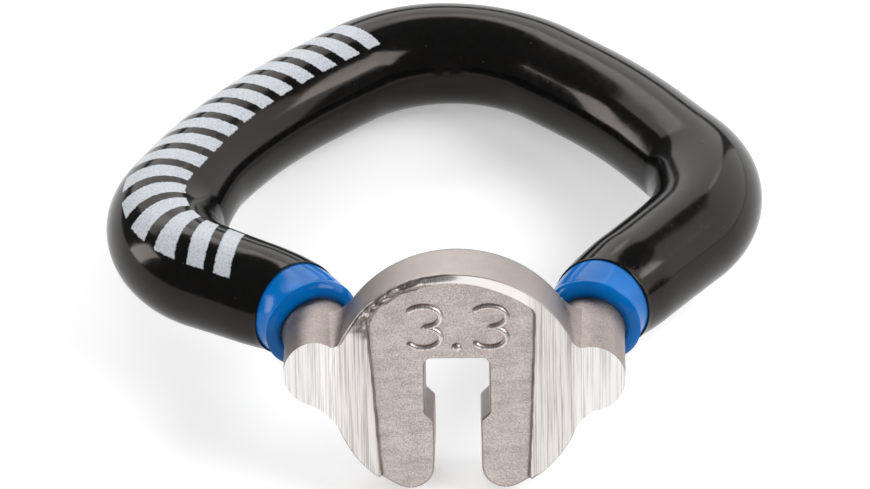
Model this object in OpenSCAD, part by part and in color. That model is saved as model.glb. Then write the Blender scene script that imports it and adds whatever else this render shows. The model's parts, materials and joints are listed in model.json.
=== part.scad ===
// Four-sided spoke wrench. A cast steel head with a nipple slot is brazed between the ends of
// one bent steel rod, and the rod's loop is dipped in vinyl twice to make a finger grip.
// The wrench lies as it does on a bench, on its two prongs and on the back of the loop.
// The origin is on the axis of a seated nipple, the middle of the pocket, on the ground front face.
// X runs across the loop, Y from the head to the back of the loop, Z up.

/* [Head] */
// Diameter of the cast disc
head_d = 12.75; // [11.5:0.05:16]
// Thickness of the disc, along the spoke
head_t = 3.4; // [2.5:0.1:5]
// Height of the disc's centre above the middle of the pocket
disc_rise = 0.1; // [-0.3:0.05:0.5]
// Depth of the flat on each side of the disc, where the rod is brazed on
flat_cut = 0.5; // [0.3:0.05:1]
// Bevel around the front edge
front_bevel = 0.15; // [0.1:0.05:0.5]
// Bevel around the back edge
back_bevel = 0.5; // [0.1:0.05:0.8]

/* [Nipple slot] */
// Width of the square pocket, across the nipple's flats
pocket_w = 3.3; // [3:0.05:4.5]
// Distance from the middle of the pocket down to its shoulders, where its sides close in
shoulder_drop = 1.4; // [1:0.05:2]
// Radius in the pocket's two upper corners
pocket_r = 0.4; // [0.1:0.05:0.6]
// Width of the throat that the spoke passes through
throat_w = 2.4; // [2:0.05:2.8]
// Radius on the inner corner of each prong's tip
tip_r = 1.2; // [0.6:0.1:1.6]

/* [Recess] */
// Depth of the cast recess below the ground lands
recess_depth = 0.35; // [0.15:0.05:0.6]
// Width of the rim above the recess
rim_w = 0.4; // [0.35:0.05:1]
// Distance of the recess's left border from the middle, at the top of the disc
recess_left_top = 4.7; // [3.2:0.1:5.2]
// Distance of the recess's left border from the middle, at the bottom of the disc
recess_left_bottom = 3.8; // [3:0.1:5]
// Distance of the recess's right border from the middle, at the top of the disc
recess_right_top = 4.1; // [3.2:0.1:5.2]
// Distance of the recess's right border from the middle, at the bottom of the disc
recess_right_bottom = 3.6; // [3:0.1:5]

/* [Size mark] */
// Height of the raised digits
mark_h = 2.6; // [1.6:0.1:2.8]
// Distance of the digits' middle above the top of the pocket
mark_rise = 1.75; // [1.2:0.05:2.2]
// Width of a digit's stroke
mark_stroke = 0.28; // [0.2:0.02:0.4]
// Height of the digits above the recess's floor
mark_relief = 0.15; // [0.1:0.05:0.3]
// Distance between the middles of the two digits
mark_pitch = 3; // [2:0.1:3.6]

/* [Rod] */
// Diameter of the rod
rod_d = 3.55; // [3:0.05:4.5]
// Distance from the rod's axis to the flat on its inner side
rod_flat = 0.7; // [0.5:0.05:1.4]
// Height of the rod's ends above the middle of the pocket
rod_rise = 0.6; // [0:0.05:1]
// Distance of the rod's left end behind the front face; the right end is ground level with it
left_end_back = 0.6; // [0:0.05:1]
// Angle at which the loop climbs away from the spoke, in degrees
loop_tilt = 10; // [6:0.5:14]

/* [Brazing] */
// Thickness of the brazed joint between the flats
braze_film = 0.1; // [0.05:0.05:0.3]
// Radius of the fillet above the rod
upper_fillet_r = 0.6; // [0.3:0.1:1.5]
// Radius of the fillet below the rod
lower_fillet_r = 3; // [0.6:0.1:4]

/* [Loop] */
// Distance from the head's back to the corner of the first bend, on both sides
bend_y = 2.2; // [1.5:0.1:4]
// Radius of the first bend, on the rod's axis
bend_r = 5.9; // [3.5:0.1:7]
// Width of the loop between its left and right corners
loop_w = 31.4; // [27:0.2:38]
// Distance of the loop's middle from the head's middle, to the left
loop_shift = 1.2; // [-2:0.1:2]
// Distance of the left corner from the head's back
left_corner_y = 8; // [6.5:0.1:11.5]
// Radius of the left corner
left_corner_r = 4.75; // [3.5:0.05:7]
// Distance of the right corner from the head's back
right_corner_y = 12; // [8.5:0.1:14.5]
// Radius of the right corner
right_corner_r = 5.6; // [3.5:0.05:7]
// Distance of the left arm's bow from the middle
left_bow_x = 11.4; // [9.5:0.1:13]
// Distance of the left arm's bow from the head's back
left_bow_y = 18.6; // [16.5:0.1:21.5]
// Distance of the right arm's bow from the middle
right_bow_x = 8.6; // [7:0.1:11]
// Distance of the right arm's bow from the head's back
right_bow_y = 20; // [17.5:0.1:22.5]
// Radius of both arms' bows
bow_r = 26; // [15:0.5:40]
// Distance of the loop's back corner from the middle, to the left
apex_x = 0.4; // [-2:0.1:2]
// Distance of the loop's back corner from the head's back
apex_y = 28.2; // [25.5:0.1:32.5]
// Radius of the loop's back corner
apex_r = 8; // [5:0.1:10]

/* [Coats] */
// Length of bare rod between the head's back and the first coat
bare_len = 1.3; // [0.5:0.1:2.5]
// Length of the first coat that shows ahead of the second
band_len = 2.3; // [1:0.1:4]
// Thickness of the first coat
undercoat_t = 0.63; // [0.4:0.01:1]
// Radius on the first coat's rounded ends
undercoat_round = 0.42; // [0.2:0.01:0.5]
// Thickness of the second coat
grip_t = 0.29; // [0.15:0.01:0.6]
// Radius on the second coat's rounded ends
grip_round = 0.2; // [0.1:0.01:0.3]
// Space between a coat and what it covers
bond_gap = 0.02; // [0.01:0.01:0.05]

/* [Hidden] */
$fn = 72;

// Cuts run this far past what they cut
overrun = 1;
// A straight run reaches this far into the bends beside it
joint_lap = 0.1;
// A straight run is this much slimmer than a bend, on each wall
joint_step = 0.01;
// A fillet's circle bites this far into what it blends
fillet_bite = 0.03;
// Rod ahead of the front face, ground away
rod_lead = 1;
// Most of a side that its two bends may use
bend_fill_share = 0.95;
// Most of a coat's wall that its rounded end may use
round_fill_share = 0.8;

// Head
head_r = head_d / 2;
flat_x = head_r - flat_cut;
recess_r = head_r - rim_w;
shoulder_h = (pocket_w - throat_w) / 2;
tip_x = throat_w / 2 + tip_r;
tip_z = disc_rise - sqrt(pow(head_r - tip_r, 2) - pow(tip_x, 2));
mark_z = pocket_w / 2 + mark_rise;
mark_ring_r = (mark_h - mark_stroke) / 4;

// Rod and coats, as radii
rod_r = rod_d / 2;
rod_x = flat_x + braze_film + rod_flat;
undercoat_in = rod_r + bond_gap;
undercoat_r = undercoat_in + undercoat_t;
grip_in = undercoat_r + bond_gap;
grip_r = grip_in + grip_t;

// Corners of the rod's axis, in the loop's own plane, and the radius at each
left_corner_x = loop_w / 2 + loop_shift;
right_corner_x = loop_w / 2 - loop_shift;
corners = [
    [-rod_x, -rod_lead],
    [-rod_x, head_t + bend_y],
    [-left_corner_x, head_t + left_corner_y],
    [-left_bow_x, head_t + left_bow_y],
    [-apex_x, head_t + apex_y],
    [right_bow_x, head_t + right_bow_y],
    [right_corner_x, head_t + right_corner_y],
    [rod_x, head_t + bend_y],
    [rod_x, -rod_lead]
];
corner_radii = [0, bend_r, left_corner_r, bow_r, apex_r, bow_r, right_corner_r, bend_r, 0];
last = len(corners) - 1;
apex = 4;

function along(a) = [cos(a), sin(a)];
function wrapped(a) = a > 180 ? a - 360 : a < -180 ? a + 360 : a;
function total(v, n) = n <= 0 ? 0 : v[n - 1] + total(v, n - 1);

// Each side's length and heading, and each corner's turn
side_len = [for (i = [0 : last - 1]) norm(corners[i + 1] - corners[i])];
heading = [
    for (i = [0 : last - 1])
        let (d = corners[i + 1] - corners[i]) atan2(d[1], d[0])
];
turn = [
    for (i = [0 : last])
        i == 0 || i == last ? 0 : wrapped(heading[i] - heading[i - 1])
];

// Two bends that would meet on one side shrink alike until they fit on it
wanted = [for (i = [0 : last]) corner_radii[i] * tan(abs(turn[i]) / 2)];
fit_share = [
    for (i = [0 : last - 1])
        min(1, bend_fill_share * side_len[i] / (wanted[i] + wanted[i + 1]))
];
setback = [
    for (i = [0 : last])
        i == 0 || i == last ? 0 : wanted[i] * min(fit_share[i - 1], fit_share[i])
];
arc_r = [for (i = [0 : last]) turn[i] == 0 ? 0 : setback[i] / tan(abs(turn[i]) / 2)];

// Length of each straight run and each bend, and how far along the rod it starts
run_len = [for (i = [0 : last - 1]) side_len[i] - setback[i] - setback[i + 1]];
arc_len = [for (i = [0 : last]) arc_r[i] * abs(turn[i]) * PI / 180];
run_from = [for (i = [0 : last - 1]) total(run_len, i) + total(arc_len, i + 1)];
arc_from = [for (i = [0 : last]) i == 0 ? 0 : run_from[i - 1] + run_len[i - 1]];
rod_len = run_from[last - 1] + run_len[last - 1];

function way(i) = turn[i] > 0 ? 1 : -1;
function run_start(i) = corners[i] + setback[i] * along(heading[i]);
function arc_start(i) = corners[i] - setback[i] * along(heading[i - 1]);
function arc_centre(i) = arc_start(i) + way(i) * arc_r[i] * along(heading[i - 1] + 90);
function arc_heading(i, s) = heading[i - 1] + way(i) * (s - arc_from[i]) / arc_r[i] * 180 / PI;

// Place and heading of the rod's axis at a distance s along it
function run_places(s) = [
    for (i = [0 : last - 1])
        if (s >= run_from[i] && s <= run_from[i] + run_len[i])
            [run_start(i) + (s - run_from[i]) * along(heading[i]), heading[i]]
];
function arc_places(s) = [
    for (i = [1 : last - 1])
        if (s > arc_from[i] && s < arc_from[i] + arc_len[i])
            let (h = arc_heading(i, s))
                [arc_centre(i) + way(i) * arc_r[i] * along(h - 90), h]
];
function place(s) = concat(run_places(s), arc_places(s))[0];

// Lean that sets the prongs and the back of the loop on one level surface
apex_reach = arc_centre(apex)[1] + arc_r[apex];
lie_run = apex_reach * cos(loop_tilt) - (head_t - back_bevel);
lie_rise = rod_rise + apex_reach * sin(loop_tilt) - (tip_z - tip_r);
lie_lean = atan2(lie_rise, lie_run) - asin(grip_r / norm([lie_run, lie_rise]));

// Turns the wrench from its working pose, spoke along Y, to the pose in which it lies
module lying() {
    rotate([-lie_lean, 0, 0])
        children();
}

// Carries a shape from the loop's own plane to the head
module in_loop() {
    translate([0, 0, rod_rise])
        rotate([loop_tilt, 0, 0])
            children();
}

// Extrudes an outline drawn on the front face, backwards from one depth to another
module through(from, to) {
    translate([0, to, 0])
        rotate([90, 0, 0])
            linear_extrude(to - from)
                children();
}

module wall(outer_r, inner_r) {
    difference() {
        circle(outer_r);
        if (inner_r > 0)
            circle(inner_r);
    }
}

// One straight run of a tube that follows the rod's axis
module tube_run(i, from, to, outer_r, inner_r, lap_from, lap_to) {
    start = run_start(i) + (from - run_from[i] - lap_from) * along(heading[i]);
    slim_in = inner_r > 0 ? inner_r + joint_step : 0;
    translate([start[0], start[1], 0])
        rotate([0, 90, heading[i]])
            linear_extrude(to - from + lap_from + lap_to)
                wall(outer_r - joint_step, slim_in);
}

// One bend of a tube that follows the rod's axis
module tube_bend(i, from, to, outer_r, inner_r) {
    centre = arc_centre(i);
    first = way(i) > 0 ? arc_heading(i, from) - 90 : arc_heading(i, to) + 90;
    translate([centre[0], centre[1], 0])
        rotate([0, 0, first])
            rotate_extrude(angle = (to - from) / arc_r[i] * 180 / PI)
                translate([arc_r[i], 0])
                    wall(outer_r, inner_r);
}

// A tube along the rod's axis, from one distance along it to another
module tube(outer_r, inner_r, from, to) {
    for (i = [0 : last - 1]) {
        a = max(from, run_from[i]);
        b = min(to, run_from[i] + run_len[i]);
        if (b > a)
            tube_run(i, a, b, outer_r, inner_r, a > from ? joint_lap : 0, b < to ? joint_lap : 0);
    }
    for (i = [1 : last - 1]) {
        a = max(from, arc_from[i]);
        b = min(to, arc_from[i] + arc_len[i]);
        if (b > a)
            tube_bend(i, a, b, outer_r, inner_r);
    }
}

// The rounded end of a coat, at a distance s along the rod; turned is 180 where it faces back
module coat_end(s, turned, outer_r, inner_r, round_r) {
    spot = place(s);
    slim_out = outer_r - 2 * joint_step;
    slim_in = inner_r + 2 * joint_step;
    translate([spot[0][0], spot[0][1], 0])
        rotate([0, 90, spot[1] + turned])
            rotate_extrude() {
                translate([slim_in, -joint_lap])
                    square([slim_out - slim_in, joint_lap]);
                translate([slim_in, 0])
                    square([slim_out - slim_in - round_r, round_r]);
                intersection() {
                    translate([slim_out - round_r, 0])
                        circle(round_r);
                    translate([slim_out - round_r, 0])
                        square(round_r);
                }
            }
}

// A coat with both ends rounded, as far as its wall lets them be
module coat(outer_r, inner_r, from, to, round_r) {
    slim_wall = outer_r - inner_r - 4 * joint_step;
    end_r = min(round_r, round_fill_share * slim_wall);
    tube(outer_r, inner_r, from + end_r, to - end_r);
    coat_end(from + end_r, 180, outer_r, inner_r, end_r);
    coat_end(to - end_r, 0, outer_r, inner_r, end_r);
}

// Outline of the pocket, its sloped shoulders and the throat
module slot_outline() {
    square_z = pocket_w / 2 - pocket_r;
    polygon([
        [-pocket_w / 2, square_z],
        [pocket_w / 2, square_z],
        [pocket_w / 2, -shoulder_drop],
        [throat_w / 2, -shoulder_drop - shoulder_h],
        [throat_w / 2, -head_r - overrun],
        [-throat_w / 2, -head_r - overrun],
        [-throat_w / 2, -shoulder_drop - shoulder_h],
        [-pocket_w / 2, -shoulder_drop]
    ]);
    translate([pocket_r - pocket_w / 2, square_z])
        square([pocket_w - 2 * pocket_r, pocket_r]);
    for (x = [-square_z, square_z])
        intersection() {
            translate([x, square_z])
                circle(pocket_r);
            translate([-pocket_w / 2, square_z])
                square([pocket_w, pocket_r]);
        }
}

// What the rounded tip of the right prong leaves free
module tip_outline() {
    far_share = (head_r + overrun) / (head_r - tip_r);
    difference() {
        polygon([
            [0, tip_z],
            [tip_x, tip_z],
            [tip_x * far_share, disc_rise + (tip_z - disc_rise) * far_share],
            [0, disc_rise + (tip_z - disc_rise) * far_share]
        ]);
        translate([tip_x, tip_z])
            circle(tip_r);
    }
}

// Outline of the recess: closed by the rim above, open at the prongs below
module recess_outline() {
    top = disc_rise + head_r;
    bottom = disc_rise - head_r;
    intersection() {
        polygon([
            [-recess_left_top, top],
            [recess_right_top, top],
            [recess_right_bottom, bottom],
            [-recess_left_bottom, bottom]
        ]);
        union() {
            translate([0, disc_rise])
                circle(recess_r);
            translate([-head_r, bottom])
                square([head_d, head_r]);
        }
    }
}

// One digit of the size mark: two rings, one above the other, open on their left
module digit_outline() {
    difference() {
        for (z = [-mark_ring_r, mark_ring_r])
            translate([0, z])
                wall(mark_ring_r + mark_stroke / 2, mark_ring_r - mark_stroke / 2);
        translate([-mark_h, -mark_ring_r])
            square([mark_h - mark_stroke / 2, 2 * mark_ring_r]);
    }
}

module mark_outline() {
    for (x = [-mark_pitch / 2, mark_pitch / 2])
        translate([x, mark_z])
            digit_outline();
    translate([0, mark_z - 2 * mark_ring_r])
        circle(mark_stroke);
}

// The turned disc, round all the way
module disc_turned() {
    translate([0, 0, disc_rise])
        rotate([-90, 0, 0])
            rotate_extrude()
                polygon([
                    [0, 0],
                    [head_r - front_bevel, 0],
                    [head_r, front_bevel],
                    [head_r, head_t - back_bevel],
                    [head_r - back_bevel, head_t],
                    [0, head_t]
                ]);
}

// The turned disc with a flat on each side
module disc_blank() {
    intersection() {
        disc_turned();
        translate([-flat_x, -overrun, disc_rise - head_d])
            cube([2 * flat_x, head_t + 2 * overrun, 2 * head_d]);
    }
}

// Where the rod's inner sides are cut back to sit on the head
module seat_gap() {
    seat_x = flat_x + braze_film;
    translate([-seat_x, -overrun - rod_lead, rod_rise - rod_d])
        cube([2 * seat_x, head_t + braze_film + overrun + rod_lead, 2 * rod_d]);
}

// What grinding takes off the rod's two ends
module ground_off() {
    reach = rod_x + rod_d;
    cut = rod_d + rod_lead;
    translate([0, -cut, rod_rise - rod_d])
        cube([reach, cut, 2 * rod_d]);
    translate([-reach, -cut, rod_rise - rod_d])
        cube([reach, cut + left_end_back, 2 * rod_d]);
}

// A stretch of the finished rod
module rod_part(from, to) {
    difference() {
        in_loop()
            tube(rod_r, 0, from, to);
        ground_off();
        seat_gap();
    }
}

// Corner between the disc and the right rod end, blended by a circle: side is 1 above, -1 below
module fillet_outline(fillet_r, side) {
    reach = norm([rod_x, rod_rise - disc_rise]);
    lean = atan2(rod_rise - disc_rise, rod_x);
    to_disc = head_r + fillet_r - fillet_bite;
    to_rod = rod_r + fillet_r - fillet_bite;
    swing = acos((to_disc * to_disc + reach * reach - to_rod * to_rod) / (2 * to_disc * reach));
    centre = [0, disc_rise] + to_disc * along(lean + side * swing);
    difference() {
        polygon([[0, disc_rise], [rod_x, rod_rise], centre]);
        translate(centre)
            circle(fillet_r);
    }
}

// The brazed joint on the right, back from the rod's end, before the disc and the rod are taken
// out of it
module braze_blank(rod_end) {
    braze_to = head_t - back_bevel;
    through(rod_end, braze_to)
        fillet_outline(upper_fillet_r, 1);
    through(rod_end, braze_to)
        fillet_outline(lower_fillet_r, -1);
    translate([0, rod_end, rod_rise - rod_flat])
        cube([flat_x + braze_film, braze_to - rod_end, 2 * rod_flat]);
}

// The brazing ahead of the left rod end, which fills the disc's flat
module braze_lip() {
    intersection() {
        disc_turned();
        translate([-flat_x - head_r, -overrun, disc_rise - head_d])
            cube([head_r, overrun + left_end_back, 2 * head_d]);
    }
}

module wrench_head() {
    color([0.72, 0.69, 0.66])
        lying() {
            difference() {
                disc_blank();
                through(-overrun, head_t + overrun)
                    slot_outline();
                for (side = [0, 1])
                    mirror([side, 0, 0])
                        through(-overrun, head_t + overrun)
                            tip_outline();
                through(-overrun, recess_depth)
                    recess_outline();
            }
            through(recess_depth - mark_relief, recess_depth + mark_relief)
                mark_outline();
        }
}

module core_rod() {
    color([0.7, 0.67, 0.63])
        lying()
            rod_part(0, rod_len);
}

module braze_left() {
    color([0.82, 0.8, 0.77])
        lying() {
            difference() {
                mirror([1, 0, 0])
                    braze_blank(left_end_back);
                disc_blank();
                rod_part(0, rod_lead + head_t + rod_d);
            }
            if (left_end_back > 0)
                braze_lip();
        }
}

module braze_right() {
    color([0.82, 0.8, 0.77])
        lying()
            difference() {
                braze_blank(0);
                disc_blank();
                rod_part(rod_len - rod_lead - head_t - rod_d, rod_len);
            }
}

module blue_undercoat() {
    first = rod_lead + head_t + bare_len;
    color([0.0, 0.38, 0.72])
        lying()
            in_loop()
                coat(undercoat_r, undercoat_in, first, rod_len - first, undercoat_round);
}

module black_grip() {
    first = rod_lead + head_t + bare_len + band_len;
    color([0.04, 0.04, 0.04])
        lying()
            in_loop()
                coat(grip_r, grip_in, first, rod_len - first, grip_round);
}

wrench_head();
core_rod();
braze_left();
braze_right();
blue_undercoat();
black_grip();
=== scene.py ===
"""Looks of a four-sided spoke wrench: a cast head brazed between the ends of one bent rod, whose
loop is dipped in blue and then in black vinyl. Lengths inside the functions are millimetres."""
import json
import math
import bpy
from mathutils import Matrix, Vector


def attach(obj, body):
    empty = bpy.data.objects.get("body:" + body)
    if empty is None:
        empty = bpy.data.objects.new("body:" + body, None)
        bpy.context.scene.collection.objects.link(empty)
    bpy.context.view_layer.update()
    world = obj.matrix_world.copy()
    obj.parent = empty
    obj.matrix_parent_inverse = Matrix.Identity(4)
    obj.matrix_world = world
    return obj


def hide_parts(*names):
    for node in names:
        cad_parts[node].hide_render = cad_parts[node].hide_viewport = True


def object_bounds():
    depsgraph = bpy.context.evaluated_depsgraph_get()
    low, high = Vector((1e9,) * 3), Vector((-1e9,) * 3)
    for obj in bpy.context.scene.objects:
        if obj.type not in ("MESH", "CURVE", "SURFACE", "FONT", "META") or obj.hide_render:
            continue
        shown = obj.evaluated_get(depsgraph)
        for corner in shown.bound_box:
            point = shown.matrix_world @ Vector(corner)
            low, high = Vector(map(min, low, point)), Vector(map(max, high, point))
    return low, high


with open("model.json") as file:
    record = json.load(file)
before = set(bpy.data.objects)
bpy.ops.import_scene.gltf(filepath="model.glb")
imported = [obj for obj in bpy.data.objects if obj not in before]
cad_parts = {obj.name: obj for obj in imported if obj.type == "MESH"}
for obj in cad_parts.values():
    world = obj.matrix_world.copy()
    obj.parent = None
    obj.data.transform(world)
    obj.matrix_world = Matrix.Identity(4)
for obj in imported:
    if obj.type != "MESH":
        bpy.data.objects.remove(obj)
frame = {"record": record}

from types import SimpleNamespace

import bmesh
import bpy
import numpy as np
from mathutils import Matrix

bl_info = {
    "name": "Spoke Wrench",
    "version": (1, 0, 0),
    "blender": (4, 5, 0),
    "location": "3D View > Sidebar > Spoke Wrench",
    "description": "Dresses the solids of a spoke wrench with its castings, coats and finishes",
    "category": "Add Mesh",
}

MM = 0.001
IMAGE_SIZE = 870.0, 489.0
FOCAL_PIXELS = 7000.0
LOOP_ORIGIN_PIXEL = 456.8, 380.5
# Name, radiance, azimuth and elevation in degrees, and distance, width and height in metres of each panel
PANELS = (
    ("key_panel", "key_light", 98, 43, 0.40, 0.23, 0.165),
    ("right_panel", "right_light", 60, 22, 0.36, 0.48, 0.28),
    ("back_panel", "back_light", -8, 26, 0.40, 0.42, 0.26),
    ("back_strip", "strip_light", -28, 39, 0.40, 0.34, 0.07),
    ("left_strip", "left_light", -84, 15, 0.32, 0.085, 0.17),
    ("fill_panel", "fill_light", 215, 50, 0.50, 0.60, 0.60),
)
CAD_BOX = [list(corner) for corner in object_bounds()]
FACE_AXIS = next(m for m in frame["record"]["mounts"] if m["name"] == "ground_face")["axis"]
LEAN = math.atan2(FACE_AXIS[2], -FACE_AXIS[1])


def length(name, description, millimetres):
    """A length property, given in millimetres and kept in metres."""
    return bpy.props.FloatProperty(
        name=name, description=description, default=millimetres * MM, unit="LENGTH", precision=5)


def angle(name, description, degrees):
    """An angle property, given in degrees and kept in radians."""
    return bpy.props.FloatProperty(
        name=name, description=description, default=math.radians(degrees), subtype="ANGLE")


def share(name, description, value):
    """A plain number from 0 upwards."""
    return bpy.props.FloatProperty(name=name, description=description, default=value, min=0.0)


def colour(name, description, rgb):
    """A colour property, in linear light."""
    return bpy.props.FloatVectorProperty(
        name=name, description=description, default=rgb, subtype="COLOR", size=3, min=0.0, max=1.0)


class WrenchHeadSizes(bpy.types.PropertyGroup):
    """Sizes of the cast head."""
    head_d: length("Head diameter", "Diameter of the cast disc", 12.75)
    head_t: length("Head thickness", "Thickness of the disc, along the spoke", 3.4)
    disc_rise: length("Disc rise", "Height of the disc's centre above the middle of the pocket", 0.1)
    flat_cut: length("Flat", "Depth of the flat on the disc's right side", 0.5)
    front_round: length("Front edge", "Rounding of the front edge", 0.15)
    back_round: length("Back edge", "Rounding of the back edge", 0.5)
    pocket_w: length("Pocket width", "Width of the square pocket", 3.3)
    shoulder_drop: length("Shoulder", "Distance from the middle of the pocket to its shoulders", 1.4)
    pocket_r: length("Pocket corner", "Radius in the pocket's upper corners", 0.4)
    throat_w: length("Throat", "Width of the throat that the spoke passes through", 2.4)
    tip_r: length("Prong tip", "Radius on the inner corner of each prong's tip", 1.2)
    slot_round: length("Slot edge", "Rounding of the slot's edges", 0.07)
    recess_depth: length("Recess depth", "Depth of the cast recess below the lands", 0.35)
    recess_wall: length("Recess wall", "Width of the recess's sloped wall", 0.2)
    rim_w: length("Rim", "Width of the rim above the recess", 0.4)
    recess_left_top: length("Recess left, top", "Left border of the recess at the top of the disc", 4.7)
    recess_left_bottom: length("Recess left, bottom", "Left border of the recess at the bottom", 3.8)
    recess_right_top: length("Recess right, top", "Right border of the recess at the top of the disc", 4.1)
    recess_right_bottom: length("Recess right, bottom", "Right border of the recess at the bottom", 3.6)
    mark_h: length("Mark height", "Height of the raised digits", 2.6)
    mark_rise: length("Mark rise", "Height of the digits' middle above the pocket", 1.75)
    mark_w: length("Mark width", "Width of a digit, between the middles of its strokes", 1.75)
    mark_stroke: length("Mark stroke", "Width of a digit's stroke", 0.3)
    mark_relief: length("Mark relief", "Height of the digits above the recess's floor", 0.18)
    mark_pitch: length("Mark pitch", "Distance between the two digits", 3.3)
    slot_draft: length("Slot draft", "How much narrower the slot is at the back, on each side", 0.06)
    slope_from: length("Left slope", "Distance from the middle at which the left land starts to fall away", 4.9)
    slope_len: length("Left slope length", "Width over which the left land falls away", 2.6)
    slope_drop: length("Left slope drop", "How far back the left end of the ground face lies", 0.6)


class WrenchLoopSizes(bpy.types.PropertyGroup):
    """Sizes of the bent rod's axis and of its two coats."""
    rod_d: length("Rod diameter", "Diameter of the rod", 3.55)
    rod_left_x: length("Left rod end", "Distance of the rod's left end from the middle", 6.93)
    rod_x: length("Right rod end", "Distance of the rod's right end from the middle", 6.675)
    rod_rise: length("Rod rise", "Height of the rod's ends above the middle of the pocket", 0.6)
    loop_tilt: angle("Loop tilt", "Angle at which the loop climbs away from the spoke", 10.0)
    bend_y: length("First bend", "Distance of the first bends from the head's back", 2.2)
    bend_left_r: length("First left bend", "Radius of the first bend on the left", 4.6)
    bend_r: length("First right bend", "Radius of the first bend on the right", 5.9)
    left_x: length("Left corner", "Distance of the left corner from the middle", 16.9)
    left_y: length("Left corner back", "Distance of the left corner from the head's back", 8.0)
    left_r: length("Left corner radius", "Radius of the left corner", 4.75)
    right_x: length("Right corner", "Distance of the right corner from the middle", 14.5)
    right_y: length("Right corner back", "Distance of the right corner from the head's back", 12.0)
    right_r: length("Right corner radius", "Radius of the right corner", 5.6)
    left_bow_x: length("Left bow", "Distance of the left arm's bow from the middle", 11.4)
    left_bow_y: length("Left bow back", "Distance of the left arm's bow from the head's back", 18.6)
    right_bow_x: length("Right bow", "Distance of the right arm's bow from the middle", 8.6)
    right_bow_y: length("Right bow back", "Distance of the right arm's bow from the head's back", 20.0)
    bow_r: length("Bow radius", "Radius of both arms' bows", 26.0)
    apex_x: length("Back corner", "Distance of the back corner from the middle, to the left", 0.4)
    apex_y: length("Back corner back", "Distance of the back corner from the head's back", 28.2)
    apex_r: length("Back corner radius", "Radius of the back corner", 8.0)
    bare_len: length("Bare rod", "Bare rod between the head's back and the blue coat", 1.3)
    band_len: length("Blue band", "Length of the blue coat that shows ahead of the black one", 2.0)
    band_slant: length("Band slant", "Half of how far the black coat's edge slants round the rod", 0.55)
    blue_r: length("Blue coat radius", "Outer radius of the blue coat", 2.48)
    blue_round: length("Blue shoulder", "Length of the blue coat's rounded end", 0.42)
    black_r: length("Black coat radius", "Outer radius of the black coat on its straights", 2.66)
    black_round: length("Black shoulder", "Length of the black coat's rounded end", 0.12)
    black_thin: length("Thin edge", "How much thinner the black coat is at its ends", 0.12)
    fillet_front: length("Braze fillet, front", "Radius of the fillet above the rod at the ground face", 0.6)
    fillet_back: length("Braze fillet, back", "Radius of the fillet above the rod at the head's back", 1.5)
    fillet_low_left: length("Left braze fillet, below", "Radius of the fillet below the rod's left end", 3.0)
    fillet_low_right: length("Right braze fillet, below", "Radius of the fillet below the rod's right end", 2.2)


class WrenchFinishes(bpy.types.PropertyGroup):
    """Colours of the wrench's finishes."""
    cast: colour("Cast metal", "Satin plated casting, in the recess", (0.60, 0.53, 0.50))
    # Painted shade: the cast side is a darker copy of the cast colour, standing in for the shade on the disc's side
    # and in the slot.
    side: colour("Cast side", "Darker casting on the disc's side and in the slot", (0.34, 0.30, 0.28))
    ground: colour("Ground lands", "Freshly ground lands of the casting", (0.84, 0.79, 0.765))
    rod: colour("Rod steel", "Bare drawn rod", (0.29, 0.247, 0.23))
    rod_end: colour("Ground rod ends", "Freshly ground ends of the rod", (0.98, 0.955, 0.94))
    blue: colour("Blue vinyl", "First dipped coat", (0.0, 0.125, 0.43))
    black: colour("Black vinyl", "Second dipped coat", (0.0035, 0.0035, 0.0035))
    ink: colour("Ink", "Printed bars on the left arm", (0.52, 0.55, 0.59))
    floor: colour("Floor", "Pale studio floor", (0.85, 0.85, 0.85))


class WrenchStage(bpy.types.PropertyGroup):
    """Camera and light."""
    elevation: angle("Camera elevation", "Angle of the camera above the loop's plane", 36.0)
    pan: angle("Camera pan", "Angle of the camera off the loop's middle", 1.1)
    roll: angle("Camera roll", "Roll of the camera", -1.2)
    distance: length("Camera distance", "Distance from the camera to the loop's plane", 350.0)
    world_light: share("World light", "Radiance of the surroundings", 0.16)
    floor_glow: share("Floor glow", "How much lighter the floor looks than its own light makes it", 0.34)
    key_light: share("Key panel", "Radiance of the main panel, high on the right", 7.5)
    right_light: share("Right panel", "Radiance of the large panel on the right", 2.0)
    back_light: share("Back panel", "Radiance of the panel at the back", 2.4)
    strip_light: share("Back strip", "Radiance of the narrow strip above the panel at the back", 2.8)
    left_light: share("Left strip", "Radiance of the strip on the left", 8.0)
    fill_light: share("Fill panel", "Radiance of the large soft panel in front, which the gloss doesn't show", 1.0)


# --- Frames and meshes ------------------------------------------------------------------------

def in_mm(group, angles=()):
    """The group's lengths in millimetres and its angles in radians, by name."""
    return SimpleNamespace(**{
        key: getattr(group, key) / (1.0 if key in angles else MM) for key in group.__annotations__})


def head_to_rest(points):
    """Turns points from the working pose, spoke along Y, to the pose in which the wrench lies, and
    gives them in metres: a turn by the lean about X, the wrong way round, so that Z tips back."""
    c, s = math.cos(LEAN), math.sin(LEAN)
    x, y, z = points[..., 0], points[..., 1], points[..., 2]
    return np.stack([x, y * c + z * s, z * c - y * s], -1) * MM


def loop_to_head(points, loop):
    """Carries points from the loop's own plane to the head: a turn by the tilt about X, then up by
    the rod's rise."""
    c, s = math.cos(loop.loop_tilt), math.sin(loop.loop_tilt)
    x, y, z = points[..., 0], points[..., 1], points[..., 2]
    return np.stack([x, y * c - z * s, loop.rod_rise + y * s + z * c], -1)


def smooth(t):
    """Smooth step: 3t squared minus 2t cubed, with t held between 0 and 1."""
    t = np.clip(t, 0.0, 1.0)
    return t * t * (3.0 - 2.0 * t)


def bump(t, middle, half):
    """Bell of height 1 round the middle: the exponential of minus the squared distance in halves."""
    return np.exp(-((t - middle) / half) ** 2)


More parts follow.
